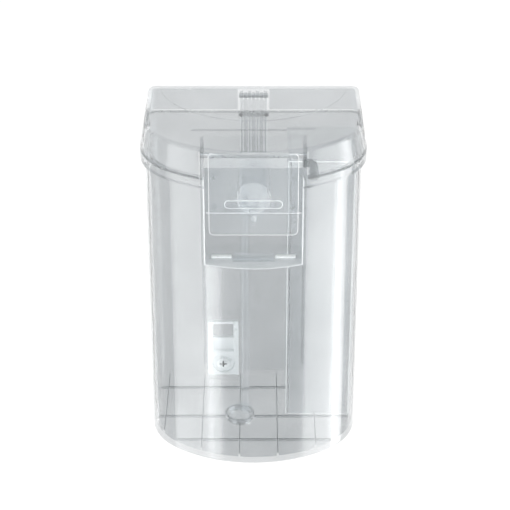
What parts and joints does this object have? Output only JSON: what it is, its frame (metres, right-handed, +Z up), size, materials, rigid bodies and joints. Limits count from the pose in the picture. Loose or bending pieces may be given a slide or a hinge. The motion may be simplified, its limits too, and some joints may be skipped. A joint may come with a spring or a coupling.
{
  "type": "wall mounted soap dispenser",
  "caption": "Translucent wall mounted soap dispenser: a D shaped tank with a hinged lid and a front push plate that works a plunger pump.",
  "frame": {"origin": "middle of the four wall screw holes, in the wall plane", "axes": "+Z up, -Y out of the wall towards the user, +X to the user's right; the wall is the plane Y = 0"},
  "size_m": [0.1212, 0.0923, 0.1926],
  "materials": {
    "clear_plastic": "translucent, moulded",
    "frosted_plastic": "translucent, satin",
    "plate_plastic": "translucent, gloss",
    "milky_plastic": "satin",
    "steel": "plain",
    "seal_rubber": "soft",
    "dark_plastic": "satin",
    "dark_rubber": "matt"
  },
  "bodies": {
    "dispenser": {"wall_plate": "clear_plastic", "tank": "clear_plastic", "side_chamber": "clear_plastic", "chamber_cap": "clear_plastic", "fixing_frame": "milky_plastic", "fixing_washer": "seal_rubber", "fixing_screw": "steel", "gasket": "seal_rubber", "hinge_bracket": "frosted_plastic", "hinge_pin": "steel", "hinge_clamp": "dark_plastic", "hinge_rivet_left": "dark_plastic", "hinge_rivet_right": "dark_plastic", "pump_body": "frosted_plastic", "pump_cap": "frosted_plastic", "pump_carrier": "frosted_plastic", "carrier_screw_1": "steel", "carrier_screw_2": "steel", "carrier_screw_3": "steel", "carrier_screw_4": "steel", "dip_tube": "clear_plastic", "strainer": "frosted_plastic", "nozzle": "frosted_plastic", "vent_elbow": "dark_rubber", "plate_pin": "steel", "pump_spring": "clear_plastic", "ledge_pad_left": "milky_plastic", "ledge_pad_right": "milky_plastic"},
    "lid": {"lid": "clear_plastic"},
    "push_plate": {"push_plate": "plate_plastic"},
    "plunger": {"plunger": "frosted_plastic", "piston_seal": "seal_rubber"},
    "drip_tray": {"drip_tray": "frosted_plastic"},
    "inlet_ball": {"inlet_ball": "steel"},
    "outlet_ball": {"outlet_ball": "steel"}
  },
  "joints": [
    {"name": "lid_swing", "type": "hinge", "parent": "dispenser", "child": "lid", "pos_m": [0, -0.007, 0.0924], "axis": [-1, 0, 0], "range_deg": [0, 90]},
    {"name": "plate_press", "type": "hinge", "parent": "dispenser", "child": "push_plate", "pos_m": [0, -0.0834, 0.092], "axis": [1, 0, 0], "range_deg": [0, 7], "stiffness_Nm_per_rad": 0.02, "springref_deg": -2.86},
    {"name": "plunger_stroke", "type": "slide", "parent": "dispenser", "child": "plunger", "axis": [0, 1, 0], "range_m": [0, 0.0039], "deforming": ["pump_spring"]},
    {"name": "tray_pull", "type": "slide", "parent": "dispenser", "child": "drip_tray", "axis": [0, -1, 0], "range_m": [0, 0.012]},
    {"name": "inlet_lift", "type": "slide", "parent": "dispenser", "child": "inlet_ball", "axis": [0, 0, 1], "range_m": [0, 0.0015]},
    {"name": "outlet_lift", "type": "slide", "parent": "dispenser", "child": "outlet_ball", "axis": [0, -1, 0], "range_m": [0, 0.0015]}
  ],
  "couplings": [
    {"joint": "plunger_stroke", "follows": "plate_press", "m_per_rad": 0.03095}
  ]
}
